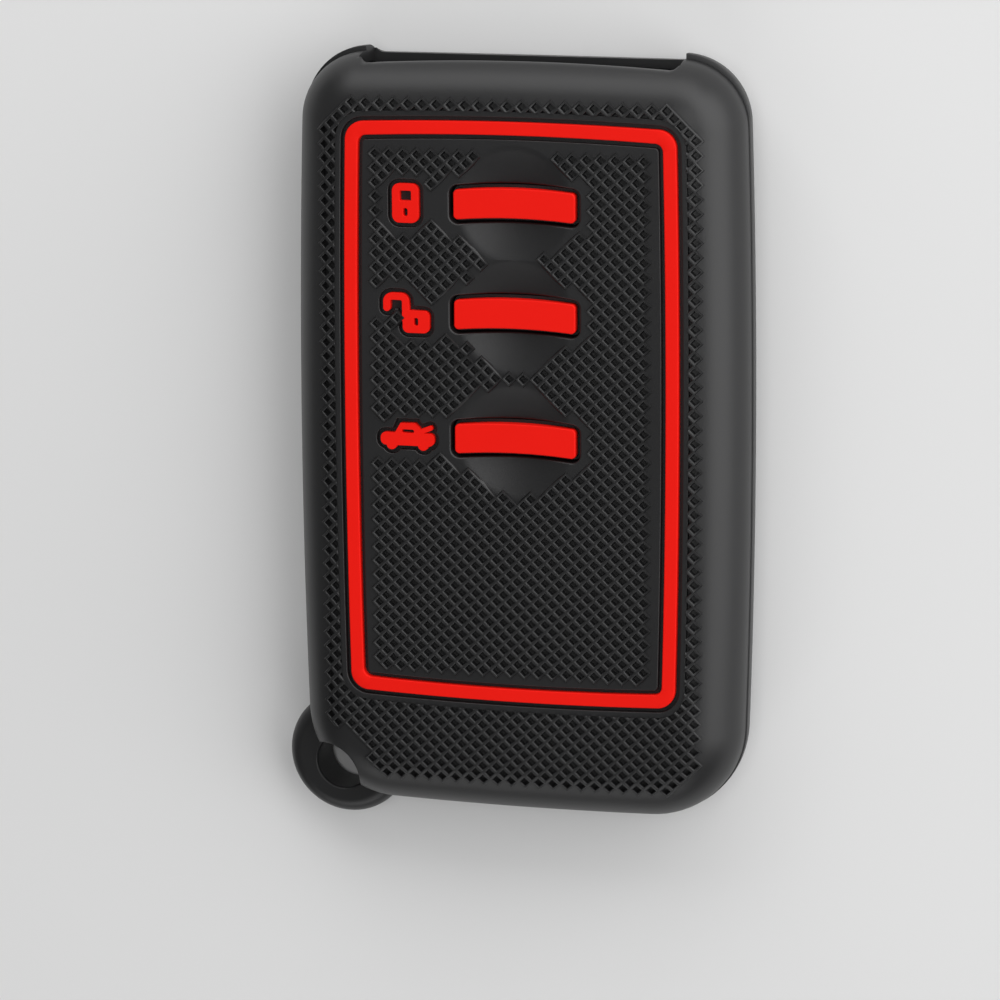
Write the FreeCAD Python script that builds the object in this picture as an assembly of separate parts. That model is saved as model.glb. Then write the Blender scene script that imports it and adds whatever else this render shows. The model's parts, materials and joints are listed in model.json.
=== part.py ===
import FreeCAD, Part
import math
import os
from FreeCAD import Vector

# Key fob cover: a moulded silicone sleeve with three press buttons and red inlays.
# Lengths are in millimetres. The cover lies on its back: +Z points out of the face,
# +Y towards the open mouth, and the origin is the middle of the back face.

# Sleeve body
body_width = 46.8            # front half, across the middle of the long sides
body_length = 77.8           # along the middle, mouth shoulders included
body_thickness = 11.8
side_bow = 0.8               # swell of the long sides
end_bow = 0.6                # swell of the short ends
top_corner_radius = 6.8      # corners in plan, at the mouth
bottom_corner_radius = 9.6   # corners in plan, at the closed end
front_edge_radius = 5.3      # roll of the front edge
back_edge_radius = 5.3       # roll of the back edge
parting_height = 5.9         # mould parting line above the back face
parting_step = 0.12          # the rear half stands out past the front half by this
cut_overrun = 2.0            # how far cutting solids run past a face

# Pocket for the key
front_wall = 1.8
back_wall = 1.4
side_wall = 1.6
pocket_edge_bevel = 2.7

# Mouth at the top end
mouth_width = 33.0
mouth_gap = 5.4              # free height of the slot between the lips
mouth_corner_radius = 1.3
front_lip_drop = 1.09        # lip below the top end, at the middle
front_lip_bow = 0.56         # the front lip arches up by this at the middle
back_lip_drop = 1.15

# Key ring lug at the lower left corner
lug_inset_x = 3.85           # middle of the lug inside the left side
lug_inset_y = 3.9            # middle of the lug inside the bottom end
lug_radius = 6.4
lug_bottom = 0.5             # the lug ends above at the parting line
lug_edge_bevel = 1.0
ring_hole_radius = 2.85
ring_hole_out_x = 0.3        # hole past the middle of the lug, away from the body
ring_hole_out_y = 0.8
ring_hole_bevel = 0.3        # soft edge of the hole
scoop_radius = 3.5           # corner of the front half scooped out above the hole
scoop_wall = 1.2             # wall left between the scooped corner and the pocket

# Border inlay round the button panel
border_side_margin = 6.12    # body side to the outside of the border, at the middle
border_top_margin = 6.72
border_bottom_margin = 12.23
border_stripe = 1.33
border_side_bow = 0.36
border_end_bow = 0.42
border_corner_radius = 2.8
inlay_gap = 0.35             # open groove beside each red inlay
inlay_proud = 0.1            # red tops above the face
recess_depth = 0.7           # floor of the recesses for the border and the icons

# Buttons, with the middle of each bar below the top of the border
lock_row = 8.23
unlock_row = 19.28
trunk_row = 31.88
dish_radius = 5.7            # rim of the hollow round a button
dish_depth = 0.8
flex_radius = 4.9            # outer edge of the thin skin that gives way
flex_collar = 0.8            # width of that skin at the ends of a bar
core_thickness = 0.7         # stiff foot under a bar
bar_length = 12.5
bar_width = 2.98
bar_arch = 0.32              # rise of a bar's middle in plan
bar_corner_radius = 0.45

# Signs beside the buttons
icon_drop = 0.17             # icons below the middle of their bar
lock_width = 2.75
lock_length = 3.95
lock_corner_radius = 0.75
shackle_window_width = 1.2
shackle_window_length = 1.0
shackle_window_rise = 0.75
shackle_window_corner_radius = 0.12
keyhole_width = 0.46
keyhole_length = 0.8
keyhole_drop = 0.9
open_body_width = 2.78
open_body_length = 2.27
open_body_corner_radius = 0.6
hook_width = 2.68
hook_stroke = 0.72
hook_corner_radius = 0.9
hook_leg = 1.89              # top of the hook down to its free end
open_icon_width = 4.8
open_icon_length = 4.0
car_length = 5.6
car_hull_height = 1.3
car_hull_corner_radius = 0.55
car_hull_drop = 0.25         # middle of the hull below the middle of the sign
car_roof_height = 1.0        # roof above the hull
car_roof_length = 1.5
car_windscreen_run = 0.6     # how far the windscreen leans back
car_rear_run = 0.9           # how far the rear window leans forward
car_roof_back = 0.05         # middle of the roof behind the middle of the car
car_wheel_radius = 0.55
car_wheel_base = 3.3
car_wheel_drop = 0.45        # wheels below the hull
car_window_length = 1.3
car_window_height = 0.35
car_lid_length = 1.3
car_lid_thickness = 0.5
car_lid_corner_radius = 0.2
car_lid_back = 2.0           # middle of the boot lid behind the middle of the car
car_lid_rise = 0.4           # middle of the boot lid above the hull
car_lid_angle = 22.0         # degrees, open boot lid

# Shares of the panel's spare width: left of the signs, and between signs and buttons
sign_spare_share = 0.171
button_spare_share = 0.066

# Other shares
slot_round_share = 0.45      # corner of a round-ended slot, of its width
level_share = 1e-6           # how nearly level an edge has to be, of the solid's height

# Places worked out from the sizes above
face = body_thickness
lug_x = lug_inset_x - body_width / 2
lug_y = lug_inset_y - body_length / 2
hole_x = lug_x - ring_hole_out_x
hole_y = lug_y - ring_hole_out_y
lug_top = parting_height
border_width = body_width - 2 * border_side_margin
border_length = body_length - border_top_margin - border_bottom_margin
border_rise = (border_bottom_margin - border_top_margin) / 2
panel_width = border_width - 2 * (border_stripe + inlay_gap)
sign_room = car_length + 2 * inlay_gap
button_room = bar_length + 2 * (inlay_gap + flex_collar)
spare_width = panel_width - sign_room - button_room
icon_column = spare_width * sign_spare_share + (sign_room - panel_width) / 2
button_column = icon_column + spare_width * button_spare_share + (sign_room + button_room) / 2
border_top = border_rise + border_length / 2
button_rows = {
    "lock": border_top - lock_row,
    "unlock": border_top - unlock_row,
    "trunk": border_top - trunk_row,
}


def sagitta_radius(chord, bow):
    """Radius of an arc that rises by bow over a chord."""
    return (chord ** 2 / 4 + bow ** 2) / (2 * bow)


def bowed_corner(width, length, side_radius, end_radius, corner):
    """Corner arc between a bowed side and a bowed end: its two ends and its middle."""
    side_centre = Vector(width / 2 - side_radius, 0, 0)
    end_centre = Vector(0, length / 2 - end_radius, 0)
    side_reach = side_radius - corner
    end_reach = end_radius - corner
    between = end_centre - side_centre
    along = (side_reach ** 2 - end_reach ** 2 + between.Length ** 2) / (2 * between.Length)
    across = math.sqrt(side_reach ** 2 - along ** 2)
    unit = between / between.Length
    centre = side_centre + unit * along + Vector(-unit.y, unit.x, 0) * across
    on_side = side_centre + (centre - side_centre) * (side_radius / side_reach)
    on_end = end_centre + (centre - end_centre) * (end_radius / end_reach)
    outward = (on_side + on_end) / 2 - centre
    on_corner = centre + outward * (corner / outward.Length)
    return on_side, on_corner, on_end


def bowed_outline(width, length, side_radius, end_radius, top_corner, bottom_corner):
    """Closed outline of four bowed sides joined by tangent corner arcs."""
    top_points = bowed_corner(width, length, side_radius, end_radius, top_corner)
    bottom_points = bowed_corner(width, length, side_radius, end_radius, bottom_corner)

    def at(point, sign_x, sign_y):
        return Vector(point.x * sign_x, point.y * sign_y, 0)

    top_right = [at(point, 1, 1) for point in top_points]
    top_left = [at(point, -1, 1) for point in reversed(top_points)]
    bottom_left = [at(point, -1, -1) for point in bottom_points]
    bottom_right = [at(point, 1, -1) for point in reversed(bottom_points)]
    arcs = [
        top_right,
        (top_right[-1], Vector(0, length / 2, 0), top_left[0]),
        top_left,
        (top_left[-1], Vector(-width / 2, 0, 0), bottom_left[0]),
        bottom_left,
        (bottom_left[-1], Vector(0, -length / 2, 0), bottom_right[0]),
        bottom_right,
        (bottom_right[-1], Vector(width / 2, 0, 0), top_right[0]),
    ]
    return Part.Wire([Part.Arc(*points).toShape() for points in arcs])


def prism(wire, low, high):
    """Solid between two heights on a flat closed outline."""
    solid = Part.Face(wire).extrude(Vector(0, 0, high - low))
    solid.translate(Vector(0, 0, low))
    return solid


def slab(width, length, low, high, corner):
    """Upright block about the origin with rounded corners in plan."""
    block = Part.makeBox(width, length, high - low, Vector(-width / 2, -length / 2, low))
    return block.makeFillet(corner, upright_edges(block))


def disc(radius, low, high, x=0, y=0):
    """Upright cylinder between two heights."""
    return Part.makeCylinder(radius, high - low, Vector(x, y, low))


def moved(shape, x, y):
    """Copy of a shape moved in plan."""
    copy = shape.copy()
    copy.translate(Vector(x, y, 0))
    return copy


def upright_edges(solid):
    """Edges of a prism that run along Z."""
    return [edge for edge in solid.Edges if edge.BoundBox.ZLength > edge.BoundBox.DiagonalLength / 2]


def level_edges(solid, height):
    """Edges of a solid that lie flat at one height."""
    spans = [(edge, edge.BoundBox) for edge in solid.Edges]
    reach = solid.BoundBox.ZLength * level_share
    return [edge for edge, box in spans if max(abs(box.ZMin - height), abs(box.ZMax - height)) < reach]


def body_outline(grow):
    """Outline of the sleeve, grown outwards or, below zero, inwards."""
    return bowed_outline(
        body_width + 2 * grow,
        body_length + 2 * grow,
        sagitta_radius(body_length, side_bow) + grow,
        sagitta_radius(body_width, end_bow) + grow,
        top_corner_radius + grow,
        bottom_corner_radius + grow,
    )


def border_outline(grow):
    """Outline of the red border, grown from its outer edge."""
    return bowed_outline(
        border_width + 2 * grow,
        border_length + 2 * grow,
        sagitta_radius(border_length, border_side_bow) + grow,
        sagitta_radius(border_width, border_end_bow) + grow,
        border_corner_radius + grow,
        border_corner_radius + grow,
    )


def border_ring(gap, low, high):
    """Border stripe, widened on both sides by a gap."""
    outer = prism(border_outline(gap), low, high)
    inner = prism(border_outline(-border_stripe - gap), low, high)
    return moved(outer.cut(inner), 0, border_rise)


def arched_bar(grow, low, high):
    """Bar whose long edges arch upwards in plan, about the origin."""
    half = bar_length / 2 + grow
    radius = sagitta_radius(bar_length, bar_arch)
    middle = bar_arch / 2 - radius
    ends = []
    for reach in (radius + bar_width / 2 + grow, radius - bar_width / 2 - grow):
        rise = middle + math.sqrt(reach ** 2 - half ** 2)
        ends.append((rise, middle + reach))
    (top_end, top_middle), (low_end, low_middle) = ends
    edges = [
        Part.Arc(Vector(-half, top_end, 0), Vector(0, top_middle, 0), Vector(half, top_end, 0)).toShape(),
        Part.makeLine(Vector(half, top_end, 0), Vector(half, low_end, 0)),
        Part.Arc(Vector(half, low_end, 0), Vector(0, low_middle, 0), Vector(-half, low_end, 0)).toShape(),
        Part.makeLine(Vector(-half, low_end, 0), Vector(-half, top_end, 0)),
    ]
    block = prism(Part.Wire(edges), low, high)
    return block.makeFillet(bar_corner_radius + grow, upright_edges(block))


def button_place(row):
    """Middle of a button in plan."""
    return button_column, row


def flex_slot(row, low, high):
    """Space in the front wall that a button and its flexing skin fill."""
    slot = disc(flex_radius, low, high).fuse(arched_bar(inlay_gap + flex_collar, low, high))
    return moved(slot.removeSplitter(), *button_place(row))


def dish(row):
    """Ball that hollows the face round a button."""
    radius = sagitta_radius(2 * dish_radius, dish_depth)
    x, y = button_place(row)
    return Part.makeSphere(radius, Vector(x, y, face - dish_depth + radius), Vector(0, 1, 0))


def lock_icon(grow, low, high):
    """Closed padlock, about the origin; a grown one is the recess it sits in."""
    plate = slab(lock_width + 2 * grow, lock_length + 2 * grow, low, high, lock_corner_radius + grow)
    if grow:
        return plate
    window = slab(shackle_window_width, shackle_window_length, low, high, shackle_window_corner_radius)
    return plate.cut([moved(window, 0, shackle_window_rise), moved(keyhole(low, high), 0, -keyhole_drop)])


def keyhole(low, high):
    """Upright round-ended slot."""
    return slab(keyhole_width, keyhole_length, low, high, keyhole_width * slot_round_share)


def unlock_icon(grow, low, high):
    """Padlock with its hook swung open, about the origin; a grown one is its recess."""
    body_x = (open_icon_width - open_body_width) / 2
    body_y = (open_body_length - open_icon_length) / 2
    width = open_body_width + 2 * grow
    length = open_body_length + 2 * grow
    plate = moved(slab(width, length, low, high, open_body_corner_radius + grow), body_x, body_y)
    top = open_icon_length / 2
    hook_x = (hook_width - open_icon_width) / 2
    stroke_x = (hook_width - hook_stroke) / 2
    stroke = hook_stroke + 2 * grow
    free_y = top - hook_leg + hook_stroke / 2
    arch = slab(hook_width + 2 * grow, 2 * (hook_leg + grow), low, high, hook_corner_radius + grow)
    if not grow:
        inner_width = hook_width - 2 * hook_stroke
        inner_corner = hook_corner_radius - hook_stroke
        arch = arch.cut(slab(inner_width, 2 * (hook_leg - hook_stroke), low, high, inner_corner))
    arch = moved(arch, hook_x, top - hook_leg)
    below = Vector(-open_icon_width, free_y - 2 * open_icon_length, low)
    arch = arch.cut(Part.makeBox(2 * open_icon_width, 2 * open_icon_length, high - low, below))
    free_end = disc(stroke / 2, low, high, hook_x - stroke_x, free_y)
    foot = Vector(hook_x + stroke_x - stroke / 2, body_y, low)
    leg = Part.makeBox(stroke, free_y - body_y, high - low, foot)
    icon = plate.fuse([arch, free_end, leg]).removeSplitter()
    if grow:
        return icon
    return icon.cut(moved(keyhole(low, high), body_x, body_y))


def trunk_icon(grow, low, high):
    """Car seen from the side with its boot lid up, about the origin; a grown one is its recess."""
    hull = slab(car_length + 2 * grow, car_hull_height + 2 * grow, low, high, car_hull_corner_radius + grow)
    hull_top = car_hull_height / 2 - car_hull_drop
    roof_front = car_roof_back - car_roof_length / 2 - grow
    roof_rear = car_roof_back + car_roof_length / 2 + grow
    corners = [
        Vector(roof_front - car_windscreen_run, -car_hull_drop, 0),
        Vector(roof_rear + car_rear_run, -car_hull_drop, 0),
        Vector(roof_rear + car_rear_run, hull_top, 0),
        Vector(roof_rear, hull_top + car_roof_height + grow, 0),
        Vector(roof_front, hull_top + car_roof_height + grow, 0),
        Vector(roof_front - car_windscreen_run, hull_top, 0),
    ]
    cabin = prism(Part.makePolygon(corners + corners[:1]), low, high)
    wheel_y = car_wheel_radius - car_hull_drop - car_hull_height / 2 - car_wheel_drop
    wheel = disc(car_wheel_radius + grow, low, high)
    wheels = [moved(wheel, side * car_wheel_base / 2, wheel_y) for side in (-1, 1)]
    lid_length = car_lid_length + 2 * grow
    lid = slab(lid_length, car_lid_thickness + 2 * grow, low, high, car_lid_corner_radius + grow)
    lid.rotate(Vector(0, 0, 0), Vector(0, 0, 1), car_lid_angle)
    lid = moved(lid, car_lid_back, hull_top + car_lid_rise)
    icon = moved(hull, 0, -car_hull_drop).fuse([cabin, lid] + wheels).removeSplitter()
    if grow:
        return icon
    window = slab(car_window_length, car_window_height, low, high, car_window_height * slot_round_share)
    return icon.cut(moved(window, car_roof_back, hull_top + car_window_height / 2))


icon_makers = {"lock": lock_icon, "unlock": unlock_icon, "trunk": trunk_icon}


def placed_icon(name, grow, low, high):
    """Icon beside its button."""
    icon = icon_makers[name](grow, low, high)
    return moved(icon, icon_column, button_rows[name] - icon_drop)


def outer_body():
    """Two moulded halves that meet at the parting line, with the lug."""
    front = prism(body_outline(0), parting_height, face)
    front = front.makeFillet(front_edge_radius, level_edges(front, face))
    rear = prism(body_outline(parting_step), 0, parting_height)
    back_round = min(back_edge_radius, parting_height - parting_step)
    rear = rear.makeFillet(back_round, level_edges(rear, 0))
    lug = disc(lug_radius, lug_bottom, lug_top, lug_x, lug_y)
    lug = lug.makeChamfer(lug_edge_bevel, level_edges(lug, lug_top) + level_edges(lug, lug_bottom))
    return front.fuse([rear, lug])


def ring_hole():
    """Hole through the lug with soft edges, and the scoop above it."""
    wide = ring_hole_radius + ring_hole_bevel
    soft_top = lug_top - ring_hole_bevel
    return [
        disc(ring_hole_radius, lug_bottom - cut_overrun, face, hole_x, hole_y),
        disc(scoop_radius, lug_top, face + cut_overrun, hole_x, hole_y),
        disc(wide, lug_bottom - cut_overrun, lug_bottom, hole_x, hole_y),
        Part.makeCone(wide, ring_hole_radius, ring_hole_bevel, Vector(hole_x, hole_y, lug_bottom)),
        Part.makeCone(ring_hole_radius, wide, ring_hole_bevel, Vector(hole_x, hole_y, soft_top)),
    ]


def pocket():
    """Room for the key, kept clear of the scooped corner, with its way out."""
    low = back_wall
    high = face - front_wall
    room = prism(body_outline(-side_wall), low, high)
    room = room.makeChamfer(pocket_edge_bevel, level_edges(room, low) + level_edges(room, high))
    room = room.cut(disc(scoop_radius + scoop_wall, low, high, hole_x, hole_y))
    corner = Vector(-mouth_width / 2, 0, (low + high - mouth_gap) / 2)
    throat = Part.makeBox(mouth_width, body_length / 2 + cut_overrun, mouth_gap, corner)
    return room.fuse(throat)


def mouth_cut(lip_drop, lip_bow, low, high):
    """Space above a lip, with rounded lower corners."""
    half = mouth_width / 2
    lip = body_length / 2 - lip_drop
    top = body_length / 2 + cut_overrun
    lip_end = lip - lip_bow
    if lip_bow:
        edge = Part.Arc(Vector(-half, lip_end, 0), Vector(0, lip, 0), Vector(half, lip_end, 0)).toShape()
    else:
        edge = Part.makeLine(Vector(-half, lip, 0), Vector(half, lip, 0))
    rest = Part.makePolygon([
        Vector(half, lip_end, 0),
        Vector(half, top, 0),
        Vector(-half, top, 0),
        Vector(-half, lip_end, 0),
    ])
    block = prism(Part.Wire([edge] + rest.Edges), low, high)
    lower = [edge for edge in upright_edges(block) if edge.BoundBox.YMax < body_length / 2]
    return block.makeFillet(mouth_corner_radius, lower)


def sleeve():
    """Black moulded sleeve with everything that is cut into it."""
    middle = (back_wall + face - front_wall) / 2
    shell = outer_body().cut(ring_hole())
    shell = shell.cut(pocket())
    shell = shell.cut(mouth_cut(front_lip_drop, front_lip_bow, middle, face + cut_overrun))
    shell = shell.cut(mouth_cut(back_lip_drop, 0, -cut_overrun, middle))
    shell = shell.cut(border_ring(inlay_gap, face - recess_depth, face + cut_overrun))
    cutters = []
    for name, row in button_rows.items():
        cutters.append(placed_icon(name, inlay_gap, face - recess_depth, face + cut_overrun))
        cutters.append(flex_slot(row, face - front_wall - cut_overrun, face + cut_overrun))
        cutters.append(dish(row))
    return shell.cut(cutters)


def core(row):
    """Stiff foot that carries a bar through the front wall."""
    low = face - front_wall
    return moved(arched_bar(inlay_gap, low, low + core_thickness), *button_place(row))


def bar(row):
    """Red bar standing on its foot."""
    low = face - front_wall + core_thickness
    return moved(arched_bar(0, low, face + inlay_proud), *button_place(row))


def web(row):
    """Thin dished skin between a button and the sleeve."""
    low = face - front_wall
    skin = flex_slot(row, low, face).cut(moved(arched_bar(inlay_gap, low, face), *button_place(row)))
    return skin.cut(dish(row))


def single(shape):
    """The one solid of a shape, or a compound of its solids."""
    return shape.Solids[0] if len(shape.Solids) == 1 else Part.makeCompound(shape.Solids)


def main():
    """Build every piece and write it out."""
    pieces = {
        "sleeve": sleeve(),
        "border_inlay": border_ring(0, face - recess_depth, face + inlay_proud),
    }
    for name, row in button_rows.items():
        pieces[name + "_icon"] = placed_icon(name, 0, face - recess_depth, face + inlay_proud)
        pieces[name + "_core"] = core(row)
        pieces[name + "_bar"] = bar(row)
        pieces[name + "_web"] = web(row)
    os.makedirs("parts", exist_ok=True)
    for node, shape in pieces.items():
        single(shape).exportStep("parts/" + node + ".step")


main()
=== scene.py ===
"""Key fob cover: a black silicone sleeve with red inlays and three press buttons.

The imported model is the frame. Shapes are worked out in millimetres on scratch objects,
and every finished piece is a plain mesh in metres, at its place in the frame.
"""

import json
import logging
import math
from dataclasses import dataclass
from enum import Enum
from typing import Any, Callable, Iterable, Optional, Sequence

import bmesh
import bpy
from mathutils import Matrix, Vector

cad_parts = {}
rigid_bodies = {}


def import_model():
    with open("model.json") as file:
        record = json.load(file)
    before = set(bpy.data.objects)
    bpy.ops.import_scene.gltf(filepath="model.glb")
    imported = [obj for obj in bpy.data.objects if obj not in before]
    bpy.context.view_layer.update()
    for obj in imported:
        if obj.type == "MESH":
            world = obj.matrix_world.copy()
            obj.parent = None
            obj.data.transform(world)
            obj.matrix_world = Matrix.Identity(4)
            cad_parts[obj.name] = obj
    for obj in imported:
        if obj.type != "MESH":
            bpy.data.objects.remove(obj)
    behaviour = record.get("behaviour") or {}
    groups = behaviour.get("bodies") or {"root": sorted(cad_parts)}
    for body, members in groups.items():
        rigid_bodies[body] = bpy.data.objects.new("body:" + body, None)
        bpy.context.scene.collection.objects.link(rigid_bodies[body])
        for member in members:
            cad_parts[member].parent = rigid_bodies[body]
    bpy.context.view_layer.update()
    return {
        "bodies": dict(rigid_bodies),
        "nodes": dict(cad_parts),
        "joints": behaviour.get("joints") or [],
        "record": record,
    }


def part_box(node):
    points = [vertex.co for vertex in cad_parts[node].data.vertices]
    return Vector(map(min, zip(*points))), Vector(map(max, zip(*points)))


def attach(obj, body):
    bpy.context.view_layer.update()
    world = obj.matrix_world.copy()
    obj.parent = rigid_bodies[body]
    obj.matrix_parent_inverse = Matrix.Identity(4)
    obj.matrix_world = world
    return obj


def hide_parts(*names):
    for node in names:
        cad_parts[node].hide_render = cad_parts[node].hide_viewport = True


LOG = logging.getLogger("key_fob_cover")
MM = 0.001
# Lengths in millimetres: points that are one, heights that are one, a cutter's overshoot, far above
MERGE = 1e-4
LEVEL = 1e-3
SPARE = 1.0
ABOVE = 100.0
# Least cosine by which a mitred corner is stretched
MITRE = 0.5
# Steps of the round forms
FLARE_STEPS = 4
ROUND_STEPS = 8
POCKET_STEPS = 6
DISH_STEPS = 24
LIP_STEPS = 48
BEVEL_STEPS = 3

Point = tuple[float, float]
Loop = list[Point]
Surface = Callable[[float, float], float]


class Combine(Enum):
    """How a scratch solid joins another."""

    CUT = "DIFFERENCE"
    JOIN = "UNION"


class ButtonName(Enum):
    """The three buttons, from the mouth down."""

    LOCK = "lock"
    UNLOCK = "unlock"
    TRUNK = "trunk"


class Slot(Enum):
    """Material slots of the record."""

    BLACK = "black_silicone"
    RED = "red_silicone"


# Node benches


class Wire:
    """A node socket that takes part in Python arithmetic."""

    def __init__(self, bench: "NodeBench", socket: Optional[bpy.types.NodeSocket]) -> None:
        """Keep a socket together with the bench that it is on."""
        self.bench = bench
        self.socket = socket

    def _math(self, operation: str, first: Any, second: Any) -> "Wire":
        """Add a Math node on two values."""
        return self.bench.node("ShaderNodeMath", {"operation": operation}, {0: first, 1: second})

    def __add__(self, other: Any) -> "Wire":
        """Sum of two values."""
        return self._math("ADD", self, other)

    def __radd__(self, other: Any) -> "Wire":
        """Sum with a plain number first."""
        return self._math("ADD", other, self)

    def __sub__(self, other: Any) -> "Wire":
        """Difference of two values."""
        return self._math("SUBTRACT", self, other)

    def __rsub__(self, other: Any) -> "Wire":
        """Difference with a plain number first."""
        return self._math("SUBTRACT", other, self)

    def __mul__(self, other: Any) -> "Wire":
        """Product of two values."""
        return self._math("MULTIPLY", self, other)

    def __rmul__(self, other: Any) -> "Wire":
        """Product with a plain number first."""
        return self._math("MULTIPLY", other, self)

    def __truediv__(self, other: Any) -> "Wire":
        """Quotient of two values."""
        return self._math("DIVIDE", self, other)

    def __rtruediv__(self, other: Any) -> "Wire":
        """Quotient with a plain number first."""
        return self._math("DIVIDE", other, self)

    def also(self, name: str) -> "Wire":
        """Another output of the same node."""
        return Wire(self.bench, self.socket.node.outputs[name])


class NodeBench:
    """Adds nodes to a tree."""

    def __init__(self, tree: bpy.types.NodeTree) -> None:
        """Keep the tree that is built."""
        self.tree = tree

    def node(self, kind: str, settings: dict[str, Any], inputs: dict[Any, Any], output: Any = 0) -> Wire:
        """Add a node.

        Args:
            kind: The node's type.
            settings: The node's own properties, set first.
            inputs: Values or wires by input name or number.
            output: Name or number of the output to return.

        Returns:
            The chosen output.
        """
        made = self.tree.nodes.new(kind)
        for key, value in settings.items():
            setattr(made, key, value)
        for key, value in inputs.items():
            if isinstance(value, Wire):
                self.tree.links.new(value.socket, made.inputs[key])
            else:
                made.inputs[key].default_value = value
        outputs = made.outputs
        return Wire(self, outputs[output] if len(outputs) else None)


class ShaderBench(NodeBench):
    """Builds one material's node tree."""

    def __init__(self, name: str) -> None:
        """Start an empty material.

        Args:
            name: The material's name.
        """
        self.material = bpy.data.materials.new(name)
        self.material.use_nodes = True
        super().__init__(self.material.node_tree)
        self.tree.nodes.clear()

    def place(self) -> Wire:
        """Object coordinates of the surface."""
        return self.node("ShaderNodeTexCoord", {}, {}, "Object")

    def noise(self, place: Wire, scale: float, detail: float, roughness: float) -> Wire:
        """Noise from 0 to 1.

        Args:
            place: Where the noise is read.
            scale: Noise cells in a metre.
            detail: Octaves of finer noise.
            roughness: Strength of the finer octaves.

        Returns:
            The noise value.
        """
        values = {"Vector": place, "Scale": scale, "Detail": detail, "Roughness": roughness}
        return self.node("ShaderNodeTexNoise", {"noise_dimensions": "3D"}, values, "Fac")

    def mix(self, factor: Wire, low: tuple, high: tuple) -> Wire:
        """Colour between two colours.

        Args:
            factor: 0 for the first colour, 1 for the second.
            low: First colour.
            high: Second colour.

        Returns:
            The mixed colour.
        """
        made = self.tree.nodes.new("ShaderNodeMix")
        made.data_type = "RGBA"
        colours = [one for one in made.inputs if one.type == "RGBA"]
        self.tree.links.new(factor.socket, made.inputs[0])
        colours[0].default_value = low
        colours[1].default_value = high
        return Wire(self, next(one for one in made.outputs if one.type == "RGBA"))

    def bump(self, height: Wire, strength: float, distance: float) -> Wire:
        """Normal bent by a height.

        Args:
            height: Height from 0 to 1.
            strength: Share of the bump that is used.
            distance: Height of 1 in metres.

        Returns:
            The bent normal.
        """
        values = {"Strength": strength, "Distance": distance, "Height": height}
        return self.node("ShaderNodeBump", {}, values, "Normal")

    def close(self, values: dict[str, Any]) -> bpy.types.Material:
        """End the tree in a Principled shader.

        Args:
            values: Values or wires of the shader's sockets.

        Returns:
            The finished material.
        """
        shader = self.node("ShaderNodeBsdfPrincipled", {}, values, "BSDF")
        self.node("ShaderNodeOutputMaterial", {}, {"Surface": shader})
        return self.material


class GeometryBench(NodeBench):
    """Builds one Geometry Nodes tree with named inputs."""

    def __init__(self, name: str, inputs: dict[str, str]) -> None:
        """Start a tree.

        Args:
            name: Name of the tree.
            inputs: Socket types by the names of the inputs.
        """
        super().__init__(bpy.data.node_groups.new(name, "GeometryNodeTree"))
        self.tree.interface.new_socket("Geometry", in_out="OUTPUT", socket_type="NodeSocketGeometry")
        for key, kind in inputs.items():
            self.tree.interface.new_socket(key, in_out="INPUT", socket_type=kind)
        self.entry = self.tree.nodes.new("NodeGroupInput")

    def given(self, name: str) -> Wire:
        """One of the tree's own inputs."""
        return Wire(self, self.entry.outputs[name])

    def vector(self, x: Any, y: Any, z: Any) -> Wire:
        """Vector of three values."""
        return self.node("ShaderNodeCombineXYZ", {}, {"X": x, "Y": y, "Z": z})

    def add(self, first: Wire, second: Any) -> Wire:
        """Sum of two vectors."""
        return self.node("ShaderNodeVectorMath", {"operation": "ADD"}, {0: first, 1: second})

    def join(self, parts: Sequence[Wire]) -> Wire:
        """Put several geometries in one.

        Args:
            parts: The geometries.

        Returns:
            The joined geometry.
        """
        joined = self.tree.nodes.new("GeometryNodeJoinGeometry")
        for part in parts:
            self.tree.links.new(part.socket, joined.inputs[0])
        return Wire(self, joined.outputs[0])

    def shape_of(self, name: str) -> Wire:
        """Geometry of an object that is an input."""
        return self.node("GeometryNodeObjectInfo", {}, {"Object": self.given(name)}, "Geometry")

    def close(self, shape: Wire) -> bpy.types.NodeTree:
        """End the tree in a smooth, real and finished mesh.

        Args:
            shape: The geometry.

        Returns:
            The tree.
        """
        smooth = self.node("GeometryNodeSetShadeSmooth", {}, {"Geometry": shape})
        real = self.node("GeometryNodeRealizeInstances", {}, {"Geometry": smooth})
        dressed = self.node(
            "GeometryNodeSetMaterial", {}, {"Geometry": real, "Material": self.given("Finish")}
        )
        self.node("NodeGroupOutput", {}, {"Geometry": dressed})
        return self.tree


def grow_nodes(name: str, tree: bpy.types.NodeTree, values: dict[str, Any]) -> bpy.types.Object:
    """Run a Geometry Nodes tree and keep its result as a plain mesh.

    Args:
        name: Name of the piece.
        tree: The tree.
        values: Its inputs by name.

    Returns:
        The piece.
    """
    holder = bpy.data.objects.new(name, bpy.data.meshes.new(name))
    bpy.context.scene.collection.objects.link(holder)
    modifier = holder.modifiers.new("grow", "NODES")
    modifier.node_group = tree
    for item in tree.interface.items_tree:
        if item.in_out == "INPUT" and item.name in values:
            modifier[item.identifier] = values[item.name]
    plain_mesh(holder)
    holder.data.name = name
    return holder


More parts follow.
